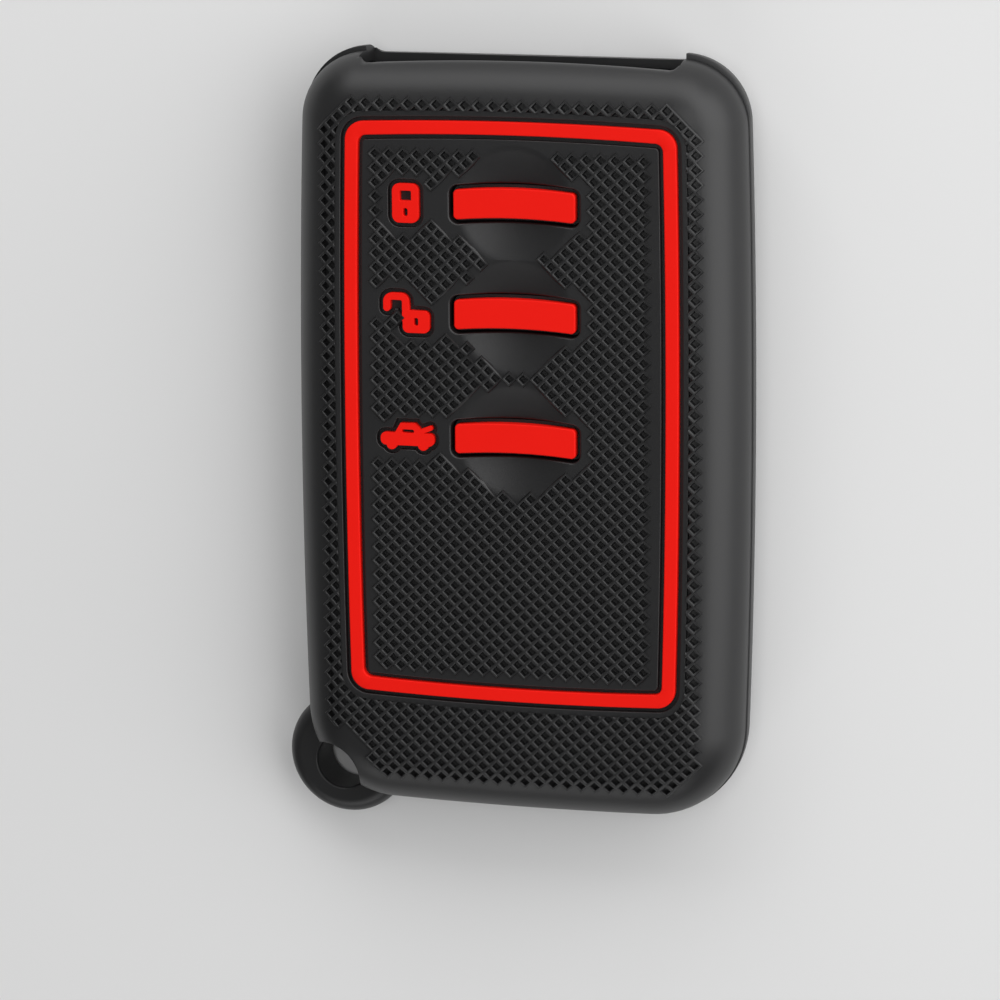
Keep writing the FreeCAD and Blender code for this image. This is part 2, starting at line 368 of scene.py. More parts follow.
@dataclass(frozen=True)
class Silicone:
    """Moulded silicone rubber with a matte spark-eroded grain."""

    name: str
    dark: tuple[float, float, float, float]
    light: tuple[float, float, float, float]
    roughness: float
    roughness_swing: float
    specular: float
    grain_scale: float = 9000.0
    grain_detail: float = 2.0
    grain_rough: float = 0.5
    grain_depth: float = 0.00003
    grain_strength: float = 0.25
    cloud_scale: float = 90.0
    cloud_detail: float = 3.0
    cloud_rough: float = 0.55
    cloud_share: float = 0.7
    grain_share: float = 0.3

    def build(self) -> bpy.types.Material:
        """Make the material.

        Returns:
            The finished material.
        """
        bench = ShaderBench(self.name)
        place = bench.place()
        cloud = bench.noise(place, self.cloud_scale, self.cloud_detail, self.cloud_rough)
        grain = bench.noise(place, self.grain_scale, self.grain_detail, self.grain_rough)
        tone = cloud * self.cloud_share + grain * self.grain_share
        roughness = cloud * self.roughness_swing + (self.roughness - self.roughness_swing / 2)
        return bench.close({
            "Base Color": bench.mix(tone, self.dark, self.light),
            "Roughness": roughness,
            "Specular IOR Level": self.specular,
            "Normal": bench.bump(grain, self.grain_strength, self.grain_depth),
        })


@dataclass(frozen=True)
class FloorPaint:
    """Plain pale floor with a faint mottle."""

    dark: tuple[float, float, float, float] = (0.70, 0.70, 0.70, 1.0)
    light: tuple[float, float, float, float] = (0.74, 0.74, 0.74, 1.0)
    roughness: float = 0.8
    mottle_scale: float = 12.0
    mottle_detail: float = 2.0
    mottle_rough: float = 0.5

    def build(self) -> bpy.types.Material:
        """Make the material.

        Returns:
            The finished material.
        """
        bench = ShaderBench("pale_floor")
        mottle = bench.noise(bench.place(), self.mottle_scale, self.mottle_detail, self.mottle_rough)
        colour = bench.mix(mottle, self.dark, self.light)
        return bench.close({"Base Color": colour, "Roughness": self.roughness})


# Bench for scratch solids, in millimetres


def bench_object(name: str, work: bmesh.types.BMesh) -> bpy.types.Object:
    """Turn a bmesh into an object.

    Args:
        name: Name of the object.
        work: The bmesh, which is freed.

    Returns:
        The object, linked to the scene.
    """
    mesh = bpy.data.meshes.new(name)
    work.to_mesh(mesh)
    work.free()
    made = bpy.data.objects.new(name, mesh)
    bpy.context.scene.collection.objects.link(made)
    return made


def skin(name: str, rings: Sequence[Sequence[Vector]], looped: bool = False) -> bpy.types.Object:
    """Skin a row of rings that hold the same number of points.

    Args:
        name: Name of the object.
        rings: The rings in order.
        looped: Whether the last ring joins the first; otherwise both ends are capped.

    Returns:
        A closed solid.
    """
    work = bmesh.new()
    rows = [[work.verts.new(point) for point in ring] for ring in rings]
    pairs = list(zip(rows, rows[1:]))
    if looped:
        pairs.append((rows[-1], rows[0]))
    else:
        work.faces.new(list(reversed(rows[0])))
        work.faces.new(rows[-1])
    for low, high in pairs:
        for index in range(len(low)):
            after = (index + 1) % len(low)
            work.faces.new((low[index], low[after], high[after], high[index]))
    bmesh.ops.recalc_face_normals(work, faces=work.faces)
    return bench_object(name, work)


def level_ring(loop: Iterable[Point], height: float) -> list[Vector]:
    """Points of a plan outline at one height."""
    return [Vector((x, y, height)) for x, y in loop]


def upright(name: str, loop: Loop, low: float, high: float) -> bpy.types.Object:
    """Upright solid on a plan outline."""
    return skin(name, [level_ring(loop, low), level_ring(loop, high)])


def circle(radius: float, centre: Point, segments: int) -> Loop:
    """Plan circle.

    Args:
        radius: Radius of the circle.
        centre: Middle of the circle.
        segments: Number of points.

    Returns:
        The points, anticlockwise.
    """
    turns = [math.tau * index / segments for index in range(segments)]
    return [(centre[0] + radius * math.cos(a), centre[1] + radius * math.sin(a)) for a in turns]


def lathe(name: str, profile: Sequence[Point], centre: Point, segments: int) -> bpy.types.Object:
    """Solid of revolution about an upright axis.

    Args:
        name: Name of the object.
        profile: Radius and height of each ring in order.
        centre: Place of the axis in plan.
        segments: Points in each ring.

    Returns:
        A closed solid.
    """
    return skin(name, [level_ring(circle(r, centre, segments), z) for r, z in profile])


def quarter(radius: float, steps: int) -> list[tuple[float, float]]:
    """Sine and one minus cosine of a quarter turn, times a radius."""
    turns = [math.pi / 2 * index / steps for index in range(steps + 1)]
    return [(radius * math.sin(a), radius * (1 - math.cos(a))) for a in turns]


def plain_mesh(holder: bpy.types.Object) -> bpy.types.Object:
    """Turn an object's modifiers into a plain mesh.

    Args:
        holder: The object.

    Returns:
        The same object.
    """
    depsgraph = bpy.context.evaluated_depsgraph_get()
    mesh = bpy.data.meshes.new_from_object(holder.evaluated_get(depsgraph), depsgraph=depsgraph)
    holder.modifiers.clear()
    holder.data = mesh
    return holder


def combine(
    body: bpy.types.Object, tools: Sequence[bpy.types.Object], how: Combine, keep: bool = False
) -> bpy.types.Object:
    """Cut or join solids.

    Args:
        body: The solid that stays.
        tools: The solids that cut or join it.
        how: Cut or join.
        keep: Whether the tools stay too; otherwise they are used up.

    Returns:
        The changed body.
    """
    for tool in tools:
        modifier = body.modifiers.new(tool.name, "BOOLEAN")
        modifier.operation = how.value
        modifier.solver = "MANIFOLD"
        modifier.object = tool
    plain_mesh(body)
    for tool in () if keep else tools:
        bpy.data.objects.remove(tool)
    return body


def signed_area(loop: Loop) -> float:
    """Area of a plan outline, above zero if it runs anticlockwise."""
    pairs = zip(loop, loop[1:] + loop[:1])
    return sum(x0 * y1 - x1 * y0 for (x0, y0), (x1, y1) in pairs) / 2


def outward(loop: Loop) -> list[Vector]:
    """Directions in which an anticlockwise outline grows evenly.

    Args:
        loop: The outline.

    Returns:
        One mitred direction for each point.
    """
    points = [Vector(point) for point in loop]
    count = len(points)
    directions = []
    for index in range(count):
        before = (points[index] - points[index - 1]).normalized()
        after = (points[(index + 1) % count] - points[index]).normalized()
        normal = Vector((before.y + after.y, -before.x - after.x)).normalized()
        directions.append(normal / max(MITRE, normal.dot(Vector((after.y, -after.x)))))
    return directions


def grown(loop: Loop, amount: float) -> Loop:
    """Outline moved outwards by an amount."""
    return [(x + way.x * amount, y + way.y * amount) for (x, y), way in zip(loop, outward(loop))]


def flared_cutter(
    name: str, loop: Loop, floor: float, rim: Surface, flare: float, top: float
) -> bpy.types.Object:
    """Upright cutter that leaves a softly rounded rim.

    Args:
        name: Name of the object.
        loop: Outline of the hole.
        floor: Height of the hole's floor.
        rim: Height of the surface that is cut, by place.
        flare: Radius of the rim.
        top: Height at which the cutter ends.

    Returns:
        The cutter.
    """
    rings = [level_ring(loop, floor)]
    for rise, spread in quarter(flare, FLARE_STEPS):
        ring = grown(loop, spread)
        rings.append([Vector((x, y, rim(x, y) - flare + rise + LEVEL)) for x, y in ring])
    rings.append(level_ring(grown(loop, flare), top))
    return skin(name, rings)


def frame_mesh(node: bpy.types.Object) -> bmesh.types.BMesh:
    """Copy a CAD node's mesh with its doubles merged, in millimetres.

    Args:
        node: The CAD node.

    Returns:
        The copy.
    """
    work = bmesh.new()
    work.from_mesh(node.data)
    bmesh.ops.scale(work, vec=Vector((1 / MM,) * 3), verts=work.verts)
    bmesh.ops.remove_doubles(work, verts=work.verts, dist=MERGE)
    return work


def rim_loops(node: bpy.types.Object, height: float, facing: float) -> list[Loop]:
    """Outlines of a CAD node's level faces at one height.

    Args:
        node: The CAD node.
        height: Height of the faces.
        facing: 1 for faces that look up, -1 for faces that look down.

    Returns:
        The outlines, all anticlockwise.
    """
    work = frame_mesh(node)
    work.normal_update()
    level = {
        face
        for face in work.faces
        if face.normal.z * facing > 1 - LEVEL and abs(face.calc_center_median().z - height) < LEVEL
    }
    follow = {}
    for face in level:
        for corner in face.loops:
            if sum(other in level for other in corner.edge.link_faces) == 1:
                follow[corner.vert] = corner.link_loop_next.vert
    loops = []
    while follow:
        start, vert = follow.popitem()
        loop = [(start.co.x, start.co.y)]
        while vert is not start:
            loop.append((vert.co.x, vert.co.y))
            vert = follow.pop(vert)
        loops.append(loop if signed_area(loop) > 0 else loop[::-1])
    work.free()
    return loops


def nearest_loop(loops: Sequence[Loop], node: str) -> Loop:
    """Find the outline that goes closest round a CAD node.

    Args:
        loops: The outlines.
        node: Name of the CAD node.

    Returns:
        The closest one.
    """
    low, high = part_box(node)
    middle = (low + high) / 2 / MM
    return min(loops, key=lambda loop: max(math.hypot(x - middle.x, y - middle.y) for x, y in loop))


def soften(holder: bpy.types.Object, edges: Callable[[bmesh.types.BMEdge], bool], width: float) -> None:
    """Round some sharp edges of a solid.

    Args:
        holder: The solid.
        edges: Says which edges to round.
        width: How far the rounding reaches from the edge.
    """
    work = bmesh.new()
    work.from_mesh(holder.data)
    bmesh.ops.remove_doubles(work, verts=work.verts, dist=MERGE)
    chosen = [edge for edge in work.edges if len(edge.link_faces) == 2 and edges(edge)]
    bmesh.ops.bevel(
        work, geom=chosen, offset=width, offset_type="OFFSET", segments=BEVEL_STEPS, profile=0.5,
        affect="EDGES", clamp_overlap=True,
    )
    work.to_mesh(holder.data)
    work.free()


def finished(
    holder: bpy.types.Object, name: str, material: bpy.types.Material, sharp: float = 38.0
) -> bpy.types.Object:
    """Make a scratch solid a finished piece, in metres, with smooth shading.

    Args:
        holder: The scratch solid.
        name: Name of the piece.
        material: Its finish.
        sharp: Edges that turn by more than these degrees stay sharp.

    Returns:
        The piece.
    """
    mesh = holder.data
    work = bmesh.new()
    work.from_mesh(mesh)
    bmesh.ops.remove_doubles(work, verts=work.verts, dist=MERGE)
    bmesh.ops.scale(work, vec=Vector((MM,) * 3), verts=work.verts)
    work.to_mesh(mesh)
    work.free()
    mesh.shade_smooth()
    mesh.set_sharp_from_angle(angle=math.radians(sharp))
    weigh = holder.modifiers.new("even_normals", "WEIGHTED_NORMAL")
    weigh.keep_sharp = True
    plain_mesh(holder)
    holder.data.materials.clear()
    holder.data.materials.append(material)
    holder.name = name
    holder.data.name = name
    return holder


# Plan outlines


@dataclass(frozen=True)
class BowedOutline:
    """Four bowed sides joined by tangent corner arcs."""

    width: float
    length: float
    side_bow: float
    end_bow: float
    top_corner: float
    bottom_corner: float
    rise: float = 0.0
    side_steps: int = 28
    corner_steps: int = 18

    @property
    def side_radius(self) -> float:
        """Radius of the bowed sides."""
        return (self.length ** 2 / 4 + self.side_bow ** 2) / (2 * self.side_bow)

    @property
    def end_radius(self) -> float:
        """Radius of the bowed ends."""
        return (self.width ** 2 / 4 + self.end_bow ** 2) / (2 * self.end_bow)

    def _corner(self, corner: float) -> tuple[Vector, float, float]:
        """Place a tangent corner arc in the first quarter.

        Args:
            corner: Radius of the arc.

        Returns:
            Its middle, and the turns at which it starts and ends.
        """
        side, end = self.side_radius, self.end_radius
        side_centre = Vector((self.width / 2 - side, 0))
        end_centre = Vector((0, self.length / 2 - end))
        between = end_centre - side_centre
        gap = between.length
        along = ((side - corner) ** 2 - (end - corner) ** 2 + gap ** 2) / (2 * gap)
        across = math.sqrt((side - corner) ** 2 - along ** 2)
        unit = between / gap
        centre = side_centre + unit * along + Vector((-unit.y, unit.x)) * across
        to_side = centre - side_centre
        to_end = centre - end_centre
        return centre, math.atan2(to_side.y, to_side.x), math.atan2(to_end.y, to_end.x)

    def samples(self) -> list[tuple[Vector, Vector]]:
        """Sample the outline.

        Returns:
            Points along it with their outward directions, anticlockwise.
        """
        side, end = self.side_radius, self.end_radius
        side_x = self.width / 2 - side
        end_y = self.length / 2 - end
        top, top_start, top_end = self._corner(self.top_corner)
        low, low_start, low_end = self._corner(self.bottom_corner)
        half, full = math.pi, math.tau
        arcs = [
            ((side_x, 0), side, -low_start, top_start, self.side_steps),
            ((top.x, top.y), self.top_corner, top_start, top_end, self.corner_steps),
            ((0, end_y), end, top_end, half - top_end, self.side_steps),
            ((-top.x, top.y), self.top_corner, half - top_end, half - top_start, self.corner_steps),
            ((-side_x, 0), side, half - top_start, half + low_start, self.side_steps),
            ((-low.x, -low.y), self.bottom_corner, half + low_start, half + low_end, self.corner_steps),
            ((0, -end_y), end, half + low_end, full - low_end, self.side_steps),
            ((low.x, -low.y), self.bottom_corner, full - low_end, full - low_start, self.corner_steps),
        ]
        found = []
        for (x, y), radius, first, last, steps in arcs:
            for index in range(steps):
                turn = first + (last - first) * index / steps
                way = Vector((math.cos(turn), math.sin(turn)))
                found.append((Vector((x, y + self.rise)) + way * radius, way))
        return found

    def loop(self, grow: float = 0.0) -> Loop:
        """Outline grown by an amount."""
        return [tuple(point + way * grow) for point, way in self.samples()]

    def rings(self, profile: Iterable[Point]) -> list[list[Vector]]:
        """Rings of the outline for each growth and height of a profile."""
        samples = self.samples()
        return [[(p + way * grow).to_3d() + Vector((0, 0, z)) for p, way in samples] for grow, z in profile]


# Sub-assemblies


@dataclass
class Cover:
    """Sizes that the sub-assemblies share, in millimetres."""

    face: float = 11.8
    floor: float = 10.0
    inlay_gap: float = 0.44
    widen: float = 0.09
    recess_depth: float = 0.7
    rim_radius: float = 0.09
    dish_radius: float = 5.7
    dish_depth: float = 0.8
    dish_blend: float = 0.4
    cut_top: float = 13.0
    round_steps: int = 96

    def place(self, name: ButtonName) -> Point:
        """Middle of a button in plan, from its skin in the frame."""
        low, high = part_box(name.value + "_web")
        return (low.x + high.x) / 2 / MM, (low.y + high.y) / 2 / MM

    @property
    def dish_ball(self) -> float:
        """Radius of the ball that hollows a dish."""
        return (self.dish_radius ** 2 + self.dish_depth ** 2) / (2 * self.dish_depth)

    def dish_profile(self) -> list[Point]:
        """Draw a dish from near its middle to its softly blended rim.

        Returns:
            Radius and height of each ring.
        """
        ball = self.dish_ball
        bottom = self.face - self.dish_depth
        last = self.dish_radius - self.dish_blend
        profile = []
        for index in range(1, DISH_STEPS + 1):
            radius = last * index / DISH_STEPS
            profile.append((radius, bottom + ball - math.sqrt(ball ** 2 - radius ** 2)))
        slope = last / math.sqrt(ball ** 2 - last ** 2)
        depth = self.face - profile[-1][1]
        reach = 2 * depth / slope
        for index in range(1, ROUND_STEPS + 1):
            share = index / ROUND_STEPS
            profile.append((last + reach * share, self.face - depth * (1 - share) ** 2 + LEVEL * share))
        return profile

    def dish_cutter(self, name: ButtonName) -> bpy.types.Object:
        """Model the cutter that hollows the face round a button.

        Args:
            name: The button.

        Returns:
            The cutter.
        """
        profile = self.dish_profile()
        profile.append((profile[-1][0], self.cut_top))
        return lathe("dish_cutter", profile, self.place(name), self.round_steps)

    def dish_height(self, name: ButtonName) -> Surface:
        """Describe the dished face round a button.

        Args:
            name: The button.

        Returns:
            Height of the face by place.
        """
        x_middle, y_middle = self.place(name)
        ball = self.dish_ball

        def height(x: float, y: float) -> float:
            """Find the height of the face at a place.

            Args:
                x: The place across.
                y: The place along.

            Returns:
                The height.
            """
            radius = math.hypot(x - x_middle, y - y_middle)
            if radius >= self.dish_radius:
                return self.face
            return self.face - self.dish_depth + ball - math.sqrt(ball ** 2 - radius ** 2)

        return height


@dataclass
class Sleeve:
    """Black moulded body with the key pocket, the mouth and the ring lug."""

    cover: Cover
    width: float = 46.8
    length: float = 77.8
    side_bow: float = 0.8
    end_bow: float = 0.6
    top_corner: float = 6.8
    bottom_corner: float = 9.6
    edge_radius: float = 5.3
    parting: float = 5.9
    parting_step: float = 0.12
    parting_round: float = 0.08
    front_set_back: float = 0.4
    roll_steps: int = 14
    front_wall: float = 1.8
    back_wall: float = 1.4
    side_wall: float = 1.6
    pocket_round: float = 2.7
    mouth_width: float = 33.0
    mouth_gap: float = 5.4
    mouth_corner: float = 1.0
    front_left_half: float = 16.2
    front_left_corner: float = 0.6
    front_right_corner: float = 1.0
    front_lip_drop: float = 1.09
    front_lip_bow: float = 0.56
    back_lip_drop: float = 1.15
    lip_round: float = 0.28
    lip_angle: float = 40.0
    lip_reach: float = 1.2
    lug_inset_x: float = 3.85
    lug_inset_y: float = 3.9
    lug_radius: float = 6.4
    lug_bottom: float = 0.5
    lug_round: float = 1.5
    lug_drop: float = 0.04
    hole_radius: float = 2.85
    hole_out_x: float = 0.3
    hole_out_y: float = 0.8
    hole_round: float = 0.3
    scoop_radius: float = 3.2
    scoop_wall: float = 1.5
    scoop_round: float = 0.6
    scoop_angle: float = 25.0
    scoop_slack: float = 0.1
    scoop_above: float = 0.2

    @property
    def outline(self) -> BowedOutline:
        """Outline of the back half, without its step."""
        return BowedOutline(
            self.width, self.length, self.side_bow, self.end_bow, self.top_corner, self.bottom_corner
        )

    @property
    def front_outline(self) -> BowedOutline:
        """Outline of the front half, which is set back at the mouth."""
        back = self.front_set_back
        return BowedOutline(
            self.width, self.length - back, self.side_bow, self.end_bow, self.top_corner,
            self.bottom_corner, -back / 2,
        )

    @property
    def lug(self) -> Point:
        """Middle of the ring lug."""
        return self.lug_inset_x - self.width / 2, self.lug_inset_y - self.length / 2

    @property
    def hole(self) -> Point:
        """Middle of the ring hole."""
        return self.lug[0] - self.hole_out_x, self.lug[1] - self.hole_out_y

    def _shell_rings(self) -> list[list[Vector]]:
        """Draw the body from the back face, over the parting line, to the front face.

        Returns:
            The rings in order.
        """
        radius, step, soft = self.edge_radius, self.parting_step, self.parting_round
        back = [(step - radius + out, up) for out, up in quarter(radius, self.roll_steps)]
        third = soft / 3
        ledge = [
            (step, self.parting - soft),
            (step - third, self.parting - third),
            (step - soft, self.parting),
        ]
        turns = reversed(quarter(radius, self.roll_steps))
        front = [(0.0, self.parting)] + [(out - radius, self.cover.face - up) for out, up in turns]
        return self.outline.rings(back + ledge) + self.front_outline.rings(front)

    def _lug_solid(self) -> bpy.types.Object:
        """Model the round lug with soft edges.

        Returns:
            The lug.
        """
        flat = self.lug_radius - self.lug_round
        top = self.parting - self.lug_drop
        turns = quarter(self.lug_round, ROUND_STEPS)
        low = [(flat + out, self.lug_bottom + up) for out, up in turns]
        high = [(flat + out, top - up) for out, up in reversed(turns)]
        return lathe("lug", low + high, self.lug, self.cover.round_steps)

    def _hole_cutter(self) -> bpy.types.Object:
        """Model the cutter of the ring hole with soft rims, and of the scooped corner above it.

        Returns:
            The cutter.
        """
        low, radius = self.hole_round, self.hole_radius
        high = self.scoop_radius - radius
        profile = [(radius + low, self.lug_bottom - SPARE)]
        profile += [(radius + low - out, self.lug_bottom + up) for out, up in quarter(low, FLARE_STEPS)]
        profile += [(radius + up, self.parting - high + out) for out, up in quarter(high, ROUND_STEPS)]
        profile.append((self.scoop_radius, self.cover.cut_top))
        return lathe("hole_cutter", profile, self.hole, self.cover.round_steps)

    def _pocket_cutter(self) -> bpy.types.Object:
        """Model the room for the key, kept clear of the scooped corner, with its way out.

        Returns:
            The cutter.
        """
        soft, grow = self.pocket_round, -self.side_wall
        high = self.cover.face - self.front_wall
        turns = quarter(soft, POCKET_STEPS)
        profile = [(grow - soft + out, self.back_wall + up) for out, up in turns]
        profile += [(grow - soft + out, high - up) for out, up in reversed(turns)]
        room = skin("pocket_cutter", self.outline.rings(profile))
        post = circle(self.scoop_radius + self.scoop_wall, self.hole, self.cover.round_steps)
        combine(room, [upright("post", post, -SPARE, self.cover.cut_top)], Combine.CUT)
        half = self.mouth_width / 2
        middle = (self.back_wall + high) / 2
        end = self.length / 2 + SPARE * 2
        throat = [(-half, 0), (half, 0), (half, end), (-half, end)]
        way_out = upright("throat", throat, middle - self.mouth_gap / 2, middle + self.mouth_gap / 2)
        return combine(room, [way_out], Combine.JOIN)

    def _lip_loop(self, drop: float, bow: float, left: Point, right: Point) -> Loop:
        """Outline of the space beyond a lip, with round corners.

        Args:
            drop: How far the lip lies under the end of the body, in its middle.
            bow: How much further its ends lie under.
            left: How far it reaches to the left, and its corner there.
            right: The same to the right.

        Returns:
            The outline, anticlockwise.
        """
        half = self.mouth_width / 2
        lip = self.length / 2 - drop
        first, last = left[1] - left[0], right[0] - right[1]
        across = [first + (last - first) * index / LIP_STEPS for index in range(LIP_STEPS + 1)]
        edge = [(x, lip - bow * (x / half) ** 2) for x in across]
        rise = [(last + out, edge[-1][1] + up) for out, up in quarter(right[1], ROUND_STEPS)][1:]
        turns = reversed(quarter(left[1], ROUND_STEPS))
        fall = [(first - out, edge[0][1] + up) for out, up in turns][:-1]
        top = self.length / 2 + SPARE * 2
        return edge + rise + [(right[0], top), (-left[0], top)] + fall

    def _rolled_end(self, x: float, y: float) -> float:
        """Find the height of the front half's rolled end at a place.

        Args:
            x: The place across.
            y: The place along.

        Returns:
            The height.
        """
        outline, roll = self.front_outline, self.edge_radius
        radius = outline.end_radius
        inside = radius - math.hypot(x, y - (outline.length / 2 + outline.rise - radius))
        out = min(roll, max(0.0, roll - inside))
        return self.cover.face - roll + math.sqrt(roll ** 2 - out ** 2)

    def _recess_cutters(self, node: bpy.types.Object) -> list[bpy.types.Object]:
        """Model the cutters of the signs' recesses, on the rims of the CAD sleeve.

        Args:
            node: The CAD sleeve.

        Returns:
            The cutters.
        """
        face = self.cover.face
        cutters = []
        loops = rim_loops(node, face, 1)
        for name in ButtonName:
            around = grown(nearest_loop(loops, name.value + "_icon"), self.cover.widen)
            cutters.append(
                flared_cutter(
                    "recess_cutter", around, face - self.cover.recess_depth, lambda x, y: face,
                    self.cover.rim_radius, self.cover.cut_top,
                )
            )
        return cutters

    def shell(self) -> bpy.types.Object:
        """Model the sleeve with a plain face.

        Returns:
            The sleeve as a scratch solid.
        """
        cover = self.cover
        middle = (self.back_wall + cover.face - self.front_wall) / 2
        even = (self.mouth_width / 2, self.mouth_corner)
        left = (self.front_left_half, self.front_left_corner)
        right = (self.mouth_width / 2, self.front_right_corner)
        front_lip = self._lip_loop(self.front_lip_drop, self.front_lip_bow, left, right)
        back_lip = self._lip_loop(self.back_lip_drop, 0.0, even, even)
        body = skin("sleeve_work", self._shell_rings())
        combine(body, [self._lug_solid()], Combine.JOIN)
        combine(
            body,
            [
                self._hole_cutter(),
                self._pocket_cutter(),
                flared_cutter(
                    "front_lip", front_lip, middle, self._rolled_end, self.lip_round, cover.cut_top
                ),
                upright("back_lip", back_lip, -SPARE, middle),
            ],
            Combine.CUT,
        )
        soften(body, self._is_lip, self.lip_round)
        soften(body, self._is_scoop, self.scoop_round)
        return body

    def build(
        self, frame: dict, body: bpy.types.Object, cutters: Sequence[bpy.types.Object],
        material: bpy.types.Material,
    ) -> bpy.types.Object:
        """Cut the face and make the sleeve a finished piece.

        Args:
            frame: The loaded frame.
            body: The sleeve with a plain face.
            cutters: Cutters of the groove and the pits.
            material: Finish of the sleeve.

        Returns:
            The finished piece.
        """
        cover = self.cover
        tools = list(cutters) + self._recess_cutters(frame["nodes"]["sleeve"])
        for name in ButtonName:
            outer = max(rim_loops(frame["nodes"][name.value + "_web"], cover.floor, -1), key=signed_area)
            tools.append(upright("slot_cutter", outer, cover.floor - SPARE, cover.cut_top))
            tools.append(cover.dish_cutter(name))
        piece = finished(combine(body, tools, Combine.CUT), "sleeve_body", material)
        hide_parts("sleeve")
        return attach(piece, "sleeve")

    def _is_lip(self, edge: bmesh.types.BMEdge) -> bool:
        """Tell whether an edge is a rim of the mouth.

        Args:
            edge: The edge.

        Returns:
            True for a rim of the mouth.
        """
        if edge.calc_face_angle(0.0) < math.radians(self.lip_angle):
            return False
        middle = (edge.verts[0].co + edge.verts[1].co) / 2
        lips = self.length / 2 - self.front_lip_drop - self.lip_reach
        return middle.y > lips and abs(middle.x) < self.mouth_width / 2 + LEVEL

    def _is_scoop(self, edge: bmesh.types.BMEdge) -> bool:
        """Tell whether an edge is the upper rim of the scooped corner.

        Args:
            edge: The edge.

        Returns:
            True for the rim.
        """
        if edge.calc_face_angle(0.0) < math.radians(self.scoop_angle):
            return False
        middle = (edge.verts[0].co + edge.verts[1].co) / 2
        x, y = self.hole
        near = math.hypot(middle.x - x, middle.y - y) < self.scoop_radius + self.scoop_slack
        return near and middle.z > self.parting + self.scoop_above


@dataclass
class BorderInlay:
    """Red stripe round the button panel, seated in its groove."""

    cover: Cover
    width: float = 34.56
    length: float = 58.85
    side_bow: float = 0.36
    end_bow: float = 0.42
    corner: float = 1.9
    inner_corner: float = 0.85
    rise: float = 2.755
    stripe: float = 1.33
    proud: float = 0.1
    soft: float = 0.12

    @property
    def outline(self) -> BowedOutline:
        """Outer edge of the stripe."""
        return BowedOutline(
            self.width, self.length, self.side_bow, self.end_bow, self.corner, self.corner, self.rise
        )

    @property
    def inner_outline(self) -> BowedOutline:
        """Inner edge of the stripe."""
        corner, both = self.inner_corner, self.stripe * 2
        return BowedOutline(
            self.width - both, self.length - both, self.side_bow, self.end_bow, corner, corner, self.rise
        )

    def _swept(self, name: str, outer: list[Point]) -> bpy.types.Object:
        """Ring of which both edges have the same profile of growth and height."""
        inner = [(-grow, z) for grow, z in reversed(outer)]
        return skin(name, self.outline.rings(outer) + self.inner_outline.rings(inner), looped=True)

    def groove_cutter(self) -> bpy.types.Object:
        """Model the cutter of the groove, with soft rims.

        Returns:
            The cutter.
        """
        cover = self.cover
        face, gap, flare = cover.face, cover.inlay_gap, cover.rim_radius
        turns = quarter(flare, FLARE_STEPS)
        outer = [(gap, face - cover.recess_depth)]
        outer += [(gap + up, face - flare + out + LEVEL) for out, up in turns]
        outer.append((gap + flare, cover.cut_top))
        return self._swept("groove_cutter", outer)

    def build(self, material: bpy.types.Material) -> bpy.types.Object:
        """Model the stripe.

        Args:
            material: Finish of the stripe.

        Returns:
            The finished piece.
        """
        low, high = self.cover.face - self.cover.recess_depth, self.cover.face + self.proud
        turns = reversed(quarter(self.soft, BEVEL_STEPS))
        outer = [(0.0, low)] + [(out - self.soft, high - up) for out, up in turns]
        piece = finished(self._swept("border_work", outer), "border_stripe", material)
        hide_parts("border_inlay")
        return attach(piece, "sleeve")


